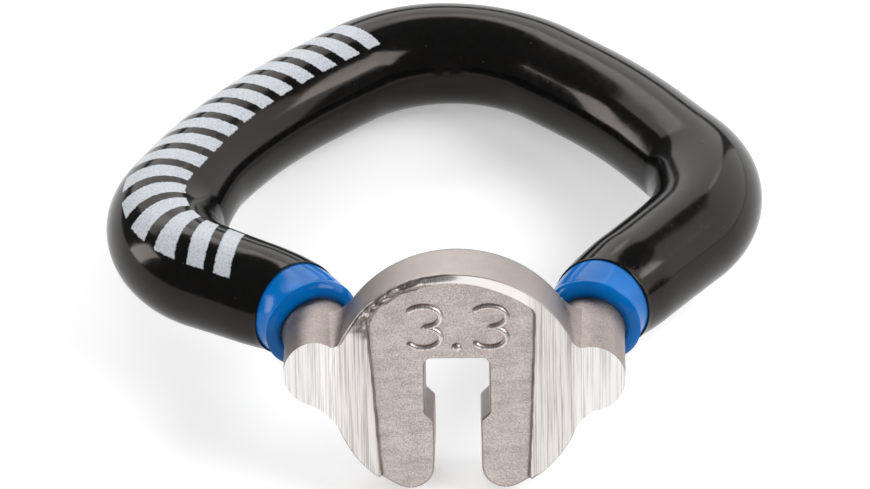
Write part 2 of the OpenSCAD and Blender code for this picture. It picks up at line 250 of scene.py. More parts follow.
def ripple(a, b, seed):
    """Even, unpatterned waviness between about -1 and 1: a sum of five sines of turned and
    stretched coordinates, each with its own phase."""
    out = 0.0
    for k in range(5):
        w = 0.7 + 0.63 * k
        t = 1.3 * k + seed
        out = out + np.sin(w * (a * math.cos(t) + b * math.sin(t)) + 2.1 * k * seed) / (1.0 + 0.5 * k)
    return out / 2.3


def grid_faces(rows, columns, close_rows=False, close_columns=False):
    """Four-cornered faces of a grid of points, joined round where it closes on itself."""
    r = np.arange(rows if close_rows else rows - 1)[:, None]
    c = np.arange(columns if close_columns else columns - 1)[None, :]
    r1, c1 = (r + 1) % rows, (c + 1) % columns
    return np.stack([r * columns + c, r1 * columns + c, r1 * columns + c1, r * columns + c1], -1).reshape(-1, 4)


def swept(grids):
    """Points, faces and end caps of tubes that are each a grid of closed rings, numbered one after another."""
    points, faces, caps, offset = [], [], [], 0
    for grid in grids:
        rows, columns = grid.shape[:2]
        points.append(grid.reshape(-1, 3))
        faces.append(grid_faces(rows, columns, False, True) + offset)
        for row in (0, rows - 1):
            caps.append([offset + row * columns + i for i in range(columns)])
        offset += rows * columns
    return np.concatenate(points), np.concatenate(faces), caps


def new_piece(name, points, faces, values=None, caps=(), sharp=None, material=None):
    """Puts points and faces into a mesh of its own, with its values as point attributes, and turns
    every face outwards."""
    mesh = bpy.data.meshes.new(name)
    mesh.from_pydata(np.asarray(points).reshape(-1, 3), [], faces.tolist() + list(caps))
    for key, value in (values or {}).items():
        layer = mesh.attributes.new(key, "FLOAT", "POINT")
        layer.data.foreach_set("value", np.ascontiguousarray(value, np.float32).reshape(-1))
    edit = bmesh.new()
    edit.from_mesh(mesh)
    bmesh.ops.recalc_face_normals(edit, faces=edit.faces[:])
    edit.to_mesh(mesh)
    edit.free()
    mesh.validate()
    mesh.shade_smooth()
    if sharp is not None:
        mesh.set_sharp_from_angle(angle=math.radians(sharp))
    piece = bpy.data.objects.new(name, mesh)
    bpy.context.scene.collection.objects.link(piece)
    if material:
        mesh.materials.append(material)
    return piece


# --- The rod's axis ---------------------------------------------------------------------------

def rod_axis(loop, head_t):
    """The rod's axis in the loop's plane as straight runs and arcs: each corner is cut back by its
    radius times the tangent of half its turn, or by less where a side has no room for both its cuts, and
    each stretch keeps its start, heading and curvature. Distances are counted from the front face."""
    corners = np.array([
        [-loop.rod_left_x, 0.0], [-loop.rod_left_x, head_t + loop.bend_y], [-loop.left_x, head_t + loop.left_y],
        [-loop.left_bow_x, head_t + loop.left_bow_y], [-loop.apex_x, head_t + loop.apex_y],
        [loop.right_bow_x, head_t + loop.right_bow_y], [loop.right_x, head_t + loop.right_y],
        [loop.rod_x, head_t + loop.bend_y], [loop.rod_x, 0.0]])
    radii = np.array([0, loop.bend_left_r, loop.left_r, loop.bow_r, loop.apex_r,
                      loop.bow_r, loop.right_r, loop.bend_r, 0])
    side = np.diff(corners, axis=0)
    reach = np.hypot(side[:, 0], side[:, 1])
    course = np.arctan2(side[:, 1], side[:, 0])
    turn = np.zeros(len(corners))
    turn[1:-1] = (np.diff(course) + np.pi) % (2 * np.pi) - np.pi
    wanted = radii * np.tan(np.abs(turn) / 2)
    end_spare, most = 1.0, 0.95
    room = reach.copy()
    room[[0, -1]] += end_spare
    fit = np.minimum(1.0, most * room / np.maximum(wanted[:-1] + wanted[1:], 1e-9))
    back = np.zeros(len(corners))
    back[1:-1] = wanted[1:-1] * np.minimum(fit[:-1], fit[1:])
    arc_r = back[1:-1] / np.tan(np.abs(turn[1:-1]) / 2)
    lengths = np.zeros(2 * len(reach) - 1)
    lengths[0::2] = reach - back[:-1] - back[1:]
    lengths[1::2] = arc_r * np.abs(turn[1:-1])
    bend = np.zeros_like(lengths)
    bend[1::2] = np.sign(turn[1:-1]) / arc_r
    first_heading = np.repeat(course, 2)[:-1]
    ahead = np.stack([np.cos(course), np.sin(course)], -1)
    starts = np.zeros((len(lengths), 2))
    starts[0::2] = corners[:-1] + back[:-1, None] * ahead
    starts[1::2] = corners[1:-1] - back[1:-1, None] * ahead[:-1]
    begin = np.concatenate([[0.0], np.cumsum(lengths)])
    return SimpleNamespace(begin=begin, starts=starts, heading=first_heading, bend=bend, total=begin[-1])


def walk(axis, s):
    """Place and heading at a distance s along the axis. On an arc the heading grows by the curvature
    times the distance, and the place by the chord: distance times sinc of half the turn."""
    k = np.clip(np.searchsorted(axis.begin, s, side="right") - 1, 0, len(axis.bend) - 1)
    t = s - axis.begin[k]
    turned = axis.bend[k] * t
    middle = axis.heading[k] + turned / 2
    chord = t * np.sinc(turned / (2 * np.pi))
    place = axis.starts[k] + np.stack([chord * np.cos(middle), chord * np.sin(middle)], -1)
    return place, axis.heading[k] + turned


def tube_points(axis, loop, s, phi, radius):
    """A tube round the axis, in the working pose: from the axis at s, the radius along a direction
    turned by phi from the upright towards the left of the way the rod runs."""
    place, heading = walk(axis, s)
    out = radius * np.sin(phi)
    points = np.stack([place[..., 0] - out * np.sin(heading), place[..., 1] + out * np.cos(heading),
                       radius * np.cos(phi) + 0 * s], -1)
    return loop_to_head(points, loop)


def coat_piece(name, axis, loop, first, last, outer, inner_r, rounds, stations, material):
    """A dipped coat: a tube whose two ends roll down to what they cover in a quarter of an ellipse, closed
    by an inner wall. First and last give each end's place as a function of phi, and outer the radius as a
    function of s, phi and the distance from the nearer end."""
    around, roll_rings, inner_rings = 144, 15, 80
    phi = np.linspace(-np.pi, np.pi, around, endpoint=False)[None, :]
    begin, end = first(phi), last(phi)
    roll = np.linspace(0, 1, roll_rings)[:, None]
    s = np.concatenate([begin + rounds * roll[:-1],
                        begin + rounds + (end - begin - 2 * rounds) * stations[:, None],
                        end - rounds * roll[::-1][1:]])
    near = np.minimum(s - begin, end - s) / rounds
    rounded = np.clip(near, 0, 1)
    full = outer(s, phi + 0 * s, near * rounds)
    radius = inner_r + (full - inner_r) * np.sqrt(rounded * (2 - rounded))
    inner_s = end + (begin - end) * np.linspace(0, 1, inner_rings + 2)[1:-1, None]
    inner = np.full(inner_s.shape[:1] + phi.shape[1:], inner_r)
    all_s = np.concatenate([s, inner_s])
    all_r = np.concatenate([radius, inner])
    all_phi = phi + 0 * all_s
    points = tube_points(axis, loop, all_s, all_phi, all_r)
    faces = grid_faces(all_s.shape[0], around, True, True)
    values = {"along": all_s, "around": all_phi * loop.black_r}
    return new_piece(name, head_to_rest(points), faces, values, material=material)


# --- Node graphs ------------------------------------------------------------------------------

class Finish:
    """A material and its nodes, with short ways to add the ones that these finishes use."""

    def __init__(self, name):
        self.material = bpy.data.materials.new(name)
        self.material.use_nodes = True
        self.tree = self.material.node_tree
        self.shader = self.tree.nodes["Principled BSDF"]
        self.object = self.add("ShaderNodeTexCoord").outputs["Object"]

    def add(self, kind, **settings):
        """Adds a node with its settings."""
        node = self.tree.nodes.new(kind)
        for key, value in settings.items():
            setattr(node, key, value)
        return node

    def put(self, socket, value):
        """Links a socket's value, or sets it where it is a plain number or colour."""
        if isinstance(value, bpy.types.NodeSocket):
            self.tree.links.new(value, socket)
        else:
            socket.default_value = value

    def math(self, operation, a, b=0.0, clamp=False):
        """The operation's result on two numbers."""
        node = self.add("ShaderNodeMath", operation=operation, use_clamp=clamp)
        self.put(node.inputs[0], a)
        self.put(node.inputs[1], b)
        return node.outputs[0]

    def step(self, value, low, high, to_low=0.0, to_high=1.0):
        """Smooth change from one number to another as the value goes from low to high."""
        node = self.add("ShaderNodeMapRange", interpolation_type="SMOOTHSTEP")
        for socket, number in zip(node.inputs, (value, low, high, to_low, to_high)):
            self.put(socket, number)
        return node.outputs[0]

    def mix(self, share, a, b):
        """Colour a plus the share times the difference of b and a."""
        node = self.add("ShaderNodeMix", data_type="RGBA")
        sockets = [i for i in node.inputs if i.type == "RGBA"]
        self.put(node.inputs[0], share)
        self.put(sockets[0], a if isinstance(a, bpy.types.NodeSocket) else (*a, 1.0))
        self.put(sockets[1], b if isinstance(b, bpy.types.NodeSocket) else (*b, 1.0))
        return next(o for o in node.outputs if o.type == "RGBA")

    def noise(self, scale, detail=3.0, rough=0.5, vector=None):
        """Cloudy noise around one half."""
        node = self.add("ShaderNodeTexNoise")
        self.put(node.inputs["Vector"], vector or self.object)
        node.inputs["Scale"].default_value = scale
        node.inputs["Detail"].default_value = detail
        node.inputs["Roughness"].default_value = rough
        return node.outputs["Fac"]

    def cells(self, scale):
        """Distance to the middle of the nearest of many scattered cells."""
        node = self.add("ShaderNodeTexVoronoi")
        self.put(node.inputs["Vector"], self.object)
        node.inputs["Scale"].default_value = scale
        return node.outputs["Distance"]

    def turned(self, rotation=(0, 0, 0), scale=(1, 1, 1)):
        """Object coordinates turned, then stretched."""
        turn = self.add("ShaderNodeMapping")
        self.put(turn.inputs["Vector"], self.object)
        turn.inputs["Rotation"].default_value = rotation
        stretch = self.add("ShaderNodeMapping")
        self.put(stretch.inputs["Vector"], turn.outputs[0])
        stretch.inputs["Scale"].default_value = scale
        return stretch.outputs[0]

    def value(self, name):
        """One of the piece's own point attributes, 0 where it has none."""
        node = self.add("ShaderNodeAttribute", attribute_name=name)
        return node.outputs["Fac"]

    def bump(self, height, distance, strength=1.0):
        """Tips the shader's normal by a height."""
        node = self.add("ShaderNodeBump")
        self.put(node.inputs["Height"], height)
        node.inputs["Distance"].default_value = distance
        node.inputs["Strength"].default_value = strength
        self.tree.links.new(node.outputs[0], self.shader.inputs["Normal"])

    def surface(self, **sockets):
        """Fills the shader's sockets, named with _ for a space."""
        for key, value in sockets.items():
            self.put(self.shader.inputs[key.replace("_", " ")], value)
        return self.material


def shaded(rgb, factor):
    """A colour made lighter or darker by a factor."""
    return tuple(min(1.0, c * factor) for c in rgb)


def grind_lines(finish):
    """Fine lines that a wheel leaves from top to bottom of the front face: two noises stretched along
    it, the finer of which weighs about three times as much."""
    fine = finish.noise(1.0, detail=3.0, rough=0.62, vector=finish.turned((LEAN, 0, 0), (16000, 300, 170)))
    wide = finish.noise(1.0, detail=2.0, rough=0.5, vector=finish.turned((LEAN, 0, 0), (3400, 120, 110)))
    return finish.math("ADD", finish.math("MULTIPLY", fine, 0.76), finish.math("MULTIPLY", wide, 0.24))


def metal_finish(name, base, ground, rough, line_tone, side=None):
    """Satin metal with a fine grain, ground bright where its own mask says, with a painted shade that makes its sides
    darker, a painted highlight on polished spots, and painted shade and dark rough cast where their masks say.
    """
    f = Finish(name)
    mask = f.value("ground")
    lines = grind_lines(f)
    fine = f.noise(12500, detail=2.0, rough=0.7)
    broad = f.noise(1100, detail=3.0, rough=0.55)
    tone = f.math("ADD", f.math("MULTIPLY", fine, 0.78), f.math("MULTIPLY", broad, 0.22))
    tone = f.step(tone, 0.36, 0.64)
    satin = f.mix(tone, shaded(base, 0.68), shaded(base, 1.18))
    # Painted shade: a darker copy of the casting on the disc's side, back and slot walls, where the side mask is set.
    if side:
        satin = f.mix(f.value("side"), satin, f.mix(tone, shaded(side, 0.88), shaded(side, 1.08)))
    # Painted highlight: where the polish mask is set, the grind lines are taken out and the ground colour is painted
    # a fifth lighter.
    clean = f.math("MAXIMUM", f.step(lines, 0.41, 0.53), f.value("polish"))
    bright = f.mix(clean, shaded(ground, line_tone), f.mix(f.value("polish"), ground, shaded(ground, 1.2)))
    body = f.mix(mask, satin, bright)
    # Painted shade and dark rough cast: a near black copy of the base colour, where that mask is set.
    body = f.mix(f.math("MULTIPLY", f.value("soot"), 0.8), body, shaded(base, 0.14))
    height = f.math("ADD",
                    f.math("MULTIPLY", fine, f.math("SUBTRACT", 1.0, mask)),
                    f.math("MULTIPLY", lines, f.math("MULTIPLY", mask, 0.25)))
    f.bump(height, distance=0.00002, strength=0.6)
    return f.surface(Base_Color=body, Metallic=1.0, Roughness=f.step(fine, 0.3, 0.7, rough - 0.05, rough + 0.08))


def blue_finish(colours):
    """Glossy blue vinyl with a faint orange peel and slight changes of depth."""
    f = Finish("blue_dip")
    deep = f.noise(420, detail=2.0)
    peel = f.noise(1500, detail=2.0)
    speck = f.noise(16000, detail=2.0)
    body = f.mix(f.step(deep, 0.35, 0.65), shaded(colours.blue, 0.86), shaded(colours.blue, 1.12))
    height = f.math("ADD", f.math("MULTIPLY", peel, 0.5), f.math("MULTIPLY", speck, 0.04))
    f.bump(height, distance=0.00003, strength=0.3)
    return f.surface(Base_Color=body, Roughness=f.step(speck, 0.35, 0.7, 0.12, 0.2), IOR=1.26)


def black_finish(colours):
    """Glossy black vinyl with specks, small pits and plain slanted bars of worn white ink: a bar stands
    where the distance along the rod, slanted by the one round it, folds back and forth over half a pitch."""
    f = Finish("black_dip")
    along, around = f.value("along"), f.value("around")
    ragged = f.noise(7000, detail=3.0, rough=0.6)
    slant, half_pitch, middle = 0.3, 0.8, 0.3
    bar_edge, row_edge, first_edge, last_edge = (0.27, 0.34), (1.74, 1.66), (9.9, 10.0), (35.3, 35.2)
    wander = f.math("MULTIPLY", f.math("SUBTRACT", ragged, 0.5), 0.2)
    slanted = f.math("ADD", f.math("ADD", along, f.math("MULTIPLY", around, slant)), wander)
    bars = f.step(f.math("PINGPONG", slanted, half_pitch), *bar_edge)
    across = f.math("ADD", f.math("ABSOLUTE", f.math("SUBTRACT", around, middle)), wander)
    inside = f.step(across, *row_edge)
    ends = f.math("MULTIPLY", f.step(slanted, *first_edge), f.step(slanted, *last_edge))
    worn = f.step(f.noise(11000, detail=3.0, rough=0.7), 0.30, 0.56, 0.55, 0.97)
    ink = f.math("MULTIPLY", f.math("MULTIPLY", bars, inside), f.math("MULTIPLY", ends, worn))
    speck = f.step(f.cells(1300), 0.07, 0.03)
    peel = f.noise(260, detail=1.0)
    haze = f.noise(2600, detail=3.0)
    coat = f.mix(f.step(haze, 0.4, 0.7), colours.black, shaded(colours.black, 1.25))
    coat = f.mix(f.math("MULTIPLY", speck, 0.3), coat, (0.10, 0.10, 0.10))
    body = f.mix(ink, coat, colours.ink)
    rough = f.math("ADD", f.step(haze, 0.35, 0.7, 0.11, 0.16), f.math("MULTIPLY", ink, 0.3))
    height = f.math("ADD", f.math("MULTIPLY", peel, 0.6),
                    f.math("ADD", f.math("MULTIPLY", speck, 0.2), f.math("MULTIPLY", ink, 0.1)))
    f.bump(height, distance=0.00004, strength=0.3)
    f.shader.inputs["Specular Tint"].default_value = (1.0, 0.87, 0.80, 1.0)
    return f.surface(Base_Color=body, Roughness=rough, IOR=1.31)


# --- The cast head ----------------------------------------------------------------------------

def polyline(parts, keys, count):
    """Places along joined stretches. The length at each key stretch's end is matched to its share of
    the whole, and the shares between are spread evenly."""
    points = np.concatenate(parts)
    run = np.concatenate([[0.0], np.cumsum(np.hypot(*np.diff(points, axis=0).T))])
    ends = np.cumsum([len(p) for p in parts]) - 1
    at = np.concatenate([[0.0], [run[ends[k]] for k, _ in keys]])
    shares = np.concatenate([[0.0], [share for _, share in keys]])
    want = np.interp(np.linspace(0, 1, count), shares, at)
    return np.stack([np.interp(want, run, points[:, 0]), np.interp(want, run, points[:, 1])], -1)


def straight(a, b, n=60):
    """Evenly spaced places from a to b."""
    return np.linspace(a, b, n)


def arc(centre, radius, start, stop, n=60):
    """Places on a circle from one angle to another, in degrees."""
    t = np.radians(np.linspace(start, stop, n))
    return np.stack([centre[0] + radius * np.cos(t), centre[1] + radius * np.sin(t)], -1)


def softened(points, width):
    """Rounds the corners of an even row of places: each becomes the mean of its neighbours, weighed
    by a bell, with the two ends kept."""
    k = np.arange(-3 * width, 3 * width + 1)
    bell = np.exp(-0.5 * (k / width) ** 2)
    bell /= bell.sum()
    pad = 3 * width
    padded = np.concatenate([2 * points[:1] - points[pad:0:-1], points, 2 * points[-1:] - points[-2:-pad - 2:-1]])
    return np.stack([np.convolve(padded[:, i], bell, "valid") for i in (0, 1)], -1)


def head_outlines(head, count, flat_cut):
    """Right halves of the slot's edge and of the disc's edge, from the middle at the top to the prong's
    tip, where a small angle stays between them, matched place by place, with the direction out of the
    metal at each."""
    big = head.head_d / 2
    flat_x = big - flat_cut
    half, throat, r = head.pocket_w / 2, head.throat_w / 2, head.pocket_r
    tip_x = throat + head.tip_r
    tip_z = head.disc_rise - math.sqrt((big - head.tip_r) ** 2 - tip_x ** 2)
    tip, tip_gap = (tip_x, tip_z), 1.0
    low = -head.shoulder_drop
    slot = polyline([
        straight((0, half), (half - r, half)),
        arc((half - r, half - r), r, 90, 45), arc((half - r, half - r), r, 45, 0),
        straight((half, half - r), (half, low)), straight((half, low), (throat, low - half + throat)),
        straight((throat, low - half + throat), (throat, tip_z)), arc(tip, head.tip_r, 180, 270 - tip_gap)],
        [(1, 0.30), (3, 0.60), (4, 0.68), (5, 0.90), (6, 1.0)], count)
    centre = (0, head.disc_rise)
    chord = math.degrees(math.acos(flat_x / big))
    touch = math.degrees(math.atan2(tip_z - head.disc_rise, tip_x))
    level = big * math.sin(math.radians(chord))
    edge = polyline([
        arc(centre, big, 90, 45), arc(centre, big, 45, chord),
        straight((flat_x, centre[1] + level), (flat_x, centre[1] - level)),
        arc(centre, big, -chord, touch), arc(tip, head.tip_r, touch, tip_gap - 90)],
        [(0, 0.30), (2, 0.64), (3, 0.93), (4, 1.0)], count)
    slot = softened(slot, 2)
    edge = softened(edge, 2)
    slot[0, 0] = edge[0, 0] = 0.0

    def out(points, sign):
        """The row's own direction, turned by a right angle."""
        way = np.gradient(points, axis=0)
        way[0] = (1.0, 0.0)
        way /= np.linalg.norm(way, axis=1)[:, None]
        return sign * np.stack([-way[:, 1], way[:, 0]], -1)
    return slot, out(slot, -1), edge, out(edge, 1)


def joined_halves(left, right):
    """The left half, turned over, followed by the right one, with the shared middle once."""
    turned = left[::-1].copy()
    turned[..., 0] *= -1
    return np.concatenate([turned[:-1], right])


def ground_depth(head, x):
    """Depth of the ground face: level, but falling away by a smooth step towards its left end."""
    return head.slope_drop * smooth((-head.slope_from - x) / head.slope_len)


def recess_borders(head, x, z):
    """Distances inward from the recess's left and right border lines, the lesser of the two, and from the
    rim's circle above the disc's centre, where the rim is wider on the right, each roughened a little."""
    big = head.head_d / 2
    up = np.clip((z - head.disc_rise + big) / (2 * big), 0, 1)
    left = x + head.recess_left_bottom + (head.recess_left_top - head.recess_left_bottom) * up
    right = head.recess_right_bottom + (head.recess_right_top - head.recess_right_bottom) * up - x
    round_x = np.hypot(x, np.maximum(z - head.disc_rise, 0))
    around = np.arctan2(z - head.disc_rise, x)
    wider, wide_at, wide_half = 0.16, 1.15, 0.42
    rim_w = head.rim_w + wider * bump(around, wide_at, wide_half)
    rim = np.where(z > head.disc_rise, big - rim_w - round_x, big)
    chips_from, chips_to, chips_fade = 1.75, 2.9, 0.2
    chips = smooth((around - chips_from) / chips_fade) * smooth((chips_to - around) / chips_fade)
    rim = rim + 0.05 * ripple(around * 5, round_x, 0.7) + 0.10 * chips * ripple(around * 24, round_x * 2, 2.3)
    return np.minimum(left, right) + 0.025 * ripple(z * 3.2, x * 0.5, 1.9), rim


def recess_distance(sides, rim):
    """How far a place lies inside the recess: the lesser of both distances, blended where they are alike
    by a parabola of the share that each has."""
    blend = 0.25
    h = np.clip(0.5 + 0.5 * (rim - sides) / blend, 0, 1)
    return rim + (sides - rim) * h - blend * h * (1 - h)


def head_relief(head, x, z):
    """Depth of the front face at a place, how brightly it is ground, how much painted shade and dark rough cast
    darken it, and where its lines are polished out and a painted highlight lightens it. The recess's wall falls by
    one minus a power of what is left of its width, the floor is slightly uneven, a band of painted shade runs along
    the recess's wall, the rim on the upper left is left rough from the mould and dark, and the crescent of the rim on
    the upper right and the left end are polished and painted lighter as a highlight."""
    sides, rim = recess_borders(head, x, z)
    inside = recess_distance(sides, rim)
    t = np.clip(inside / head.recess_wall, 0, 1)
    wall_power = 2.2
    depth = head.recess_depth * (1 - (1 - t) ** wall_power)
    depth = depth + 0.010 * t * ripple(x * 2.6, z * 2.6, 4.1) + 0.004 * t * ripple(x * 9, z * 9, 0.4)
    around = np.arctan2(z - head.disc_rise, x)
    out = np.hypot(x, z - head.disc_rise)
    rough_from, rough_to, rough_out = 1.72, 2.62, 5.2
    rough_rim = smooth((around - rough_from) / 0.25) * smooth((rough_to - around) / 0.2)
    rough_rim = rough_rim * smooth((out - rough_out) / 0.4)
    lumps = ripple(around * 30, out * 7, 3.3) + 0.6 * ripple(around * 70, out * 16, 1.2)
    depth = depth + rough_rim * (1 - t) * (0.16 + 0.06 * lumps)
    above = smooth(sides / 0.6) * (out > 5) * (z > head.disc_rise)
    outward = np.clip(-rim / (head.rim_w - head.front_round) - 0.35, 0, 1.2)
    depth = depth + ground_depth(head, x) + above * 0.23 * smooth((around - 1.5) / 0.4) * outward ** 2
    ground = smooth(0.5 - inside / 0.05) * (1 - 0.9 * rough_rim * smooth((0.75 - lumps) / 0.4))
    # Painted shade: a slightly uneven dark band along the recess's sloped wall, where shade falls.
    border = bump(inside, 0.09, 0.085) * (0.75 + 0.25 * ripple(x * 4, z * 4, 2.2))
    # Painted highlight: the crescent of the rim on the upper right is polished free of lines and painted lighter.
    polish = above * smooth((1.85 - around) / 0.3) * smooth(0.5 - rim / 0.05)
    # Painted highlight: the left end is polished free of lines and painted lighter.
    end_polish_and_highlight, end_from, end_fade = 0.45, 5.2, 1.2
    polish = np.maximum(polish, end_polish_and_highlight * smooth((-end_from - x) / end_fade))
    # Painted shade along the recess's wall, weaker where the highlight is painted, plus the dark rough cast of the
    # upper left rim.
    soot = np.clip(0.9 * border * (1 - 0.6 * polish) + 0.75 * rough_rim * (1 - t) * smooth((0.2 - lumps) / 0.8), 0, 1)
    return depth, ground, soot, polish


def head_piece(head, material):
    """The cast head as a closed profile carried from the left prong's tip over the top to the right
    one's. At each step the profile runs across the front face from the slot to the rim, over the rounded
    edge, along the outer wall, round the back edge, back across the rear face and through the slot. The
    left side is brazed out to the full circle, and the right one keeps its flat."""
    steps, probes, floor_rings, wall_rings, land_rings = 300, 500, 34, 20, 18
    halves = zip(head_outlines(head, steps, 0.01), head_outlines(head, steps, head.flat_cut))
    slot, slot_out, edge, edge_out = (joined_halves(a, b)[:, None, :] for a, b in halves)
    share_out = np.abs(np.linspace(-1, 1, slot.shape[0]))[:, None]
    tip = smooth((share_out - 0.8) / 0.2)
    edge_x, edge_z = np.abs(edge[..., 0]), edge[..., 1]
    rod_half, rod_z, crisp_from, crisp_to, crisp_x = 2.6, 0.2, 0.3, 1.8, 3.9
    beside_rod = smooth((rod_half - np.abs(edge_z - rod_z)) / 0.5) * (edge_x > 4)
    around = np.arctan2(edge_z - head.disc_rise, edge[..., 0])
    crisp = smooth((around - crisp_from) / 0.2) * smooth((crisp_to - around) / 0.3)
    crisp = np.maximum(crisp, smooth((edge_x - crisp_x) / 0.3) * (edge_z < head.disc_rise))
    full_r, crisp_r, closed_r = head.front_round, 0.04, 0.004
    front_r = full_r - (full_r - closed_r) * beside_rod - (full_r - crisp_r) * crisp * (1 - beside_rod)
    slot_r = head.slot_round + (head.front_round - head.slot_round) * tip
    start = slot - slot_out * slot_r[..., None]
    stop = edge - edge_out * front_r[..., None]
    probe = np.linspace(0, 1, probes)[None, :]
    line = start + (stop - start) * probe[..., None]
    crossed = recess_distance(*recess_borders(head, line[..., 0], line[..., 1])) < 0
    border = np.where(crossed.any(1), probe[0][np.argmax(crossed, 1)], 1.0)[:, None]
    span = np.linalg.norm(stop - start, axis=-1)
    wall_from = np.clip(border - 1.25 * head.recess_wall / span, 0.05, 0.96)
    wall_to = np.clip(border + 0.12 / span, wall_from + 0.01, 0.985)
    v = np.concatenate([wall_from * np.linspace(0, 1, floor_rings)[None, :-1],
                        wall_from + (wall_to - wall_from) * np.linspace(0, 1, wall_rings)[None, :-1],
                        wall_to + (1 - wall_to) * np.linspace(0, 1, land_rings)[None, :]], 1)
    front = start + (stop - start) * v[..., None]
    depth, ground, soot, polish = head_relief(head, front[..., 0], front[..., 1])
    turn = np.radians(np.linspace(0, 90, 8))[None, 1:]
    side = np.linspace(0, 1, 12)[None, 1:]
    every = 0 * share_out
    thick, back_r, slot_back = head.head_t, head.back_round, 0.10
    draft = head.slot_draft * (1 - tip)
    slot_back_r = slot_back + (back_r - slot_back) * tip

    def ring(base, out, inset, level):
        """Places set into the metal from an edge, and their depth."""
        return base - out * inset[..., None], level + 0 * inset

    rim = depth[:, -1:] + front_r
    rear_from = edge - edge_out * back_r
    rear_to = slot - slot_out * slot_back_r[..., None]
    rear = np.linspace(0, 1, 14)[None, 1:]
    lip = depth[:, :1] + slot_r
    wall = thick - slot_back_r
    pieces = [
        (front, depth),
        ring(edge, edge_out, front_r * (1 - np.sin(turn)), depth[:, -1:] + front_r * (1 - np.cos(turn))),
        ring(edge, edge_out, every + 0 * side, rim + (thick - back_r - rim) * side),
        ring(edge, edge_out, every + back_r * (1 - np.cos(turn)), thick - back_r + back_r * np.sin(turn)),
        (rear_from + (rear_to - rear_from) * rear[..., None], thick + every + 0 * rear),
        ring(slot, slot_out, (slot_back_r + draft) * (1 - np.sin(turn)) - draft,
             thick - slot_back_r * (1 - np.cos(turn))),
        ring(slot, slot_out, -draft * (1 - side), wall + (lip - wall) * side),
        ring(slot, slot_out, slot_r * (1 - np.cos(turn[:, :-1])), lip - slot_r * np.sin(turn[:, :-1])),
    ]
    flat = np.concatenate([p for p, _ in pieces], 1)
    level = np.concatenate([d for _, d in pieces], 1)
    points, faces, caps = swept([head_to_rest(np.stack([flat[..., 0], level, flat[..., 1]], -1))])
    fill = np.zeros((level.shape[0], level.shape[1] - ground.shape[1]))
    # Masks for the front face: ground lands, painted shade with dark rough cast, and polish with a painted highlight.
    # The side mask paints the rest darker as shade.
    values = {"ground": np.concatenate([ground, fill], 1), "soot": np.concatenate([soot, fill], 1),
              "polish": np.concatenate([polish, fill], 1), "side": np.concatenate([0 * ground, fill + 1], 1)}
    return new_piece("head_casting", points, faces, values, caps, sharp=50, material=material)


def bead_points(path, stroke, relief, floor):
    """A raised cast line: a half-round ridge carried along a path, of the stroke's width and the
    relief's height above the recess's floor, drawn in to a point at both ends."""
    way = np.gradient(path, axis=0)
    way /= np.linalg.norm(way, axis=1)[:, None]
    run = np.concatenate([[0.0], np.cumsum(np.hypot(*np.diff(path, axis=0).T))])
    taper = np.sqrt(np.clip(np.minimum(run, run[-1] - run) / (0.5 * stroke), 0.0, 1.0))[:, None]
    taper = np.maximum(taper, 0.02)
    t = np.linspace(0, 2 * np.pi, 20, endpoint=False)[None, :]
    aside = 0.5 * stroke * np.cos(t) * (0.35 + 0.65 * taper)
    lift = relief * np.sin(t) * taper
    x = path[:, :1] - way[:, 1:] * aside
    z = path[:, 1:] + way[:, :1] * aside
    return np.stack([x, floor - lift, z], -1)


def mark_piece(head, material):
    """The raised size: two digits, each a ridge along two open rings, and a flattened ball between them."""
    ring = (head.mark_h - head.mark_stroke) / 4
    middle = head.pocket_w / 2 + head.mark_rise
    digit = np.concatenate([arc((0, ring), ring, 155, -90, 60), arc((0, -ring), ring, 90, -155, 60)[1:]])
    digit[:, 0] *= head.mark_w / (2 * ring)
    digits = [bead_points(softened(digit, 1) + (x, middle), head.mark_stroke, head.mark_relief, head.recess_depth)
              for x in (-head.mark_pitch / 2, head.mark_pitch / 2)]
    polar = np.linspace(0.02, np.pi - 0.02, 16)[:, None]
    round_t = np.linspace(0, 2 * np.pi, 28, endpoint=False)[None, :]
    size = 0.85 * head.mark_stroke
    dot = np.stack([size * np.sin(polar) * np.cos(round_t),
                    head.recess_depth - 0.9 * head.mark_relief * np.cos(polar) + 0 * round_t,
                    middle - 2 * ring + size * np.sin(polar) * np.sin(round_t)], -1)
    points, faces, caps = swept([*digits, dot])
    crest = smooth((head.recess_depth - points[:, 1]) / head.mark_relief)
    # The digits' crests are painted ground bright, as wear and as a painted highlight, and their feet are painted
    # darker as shade.
    values = {"ground": 0.6 * crest, "soot": 0.35 * (1 - smooth(crest / 0.35))}
    return new_piece("size_mark", head_to_rest(points), faces, values, caps, material=material)


# --- The rod and its brazing ------------------------------------------------------------------

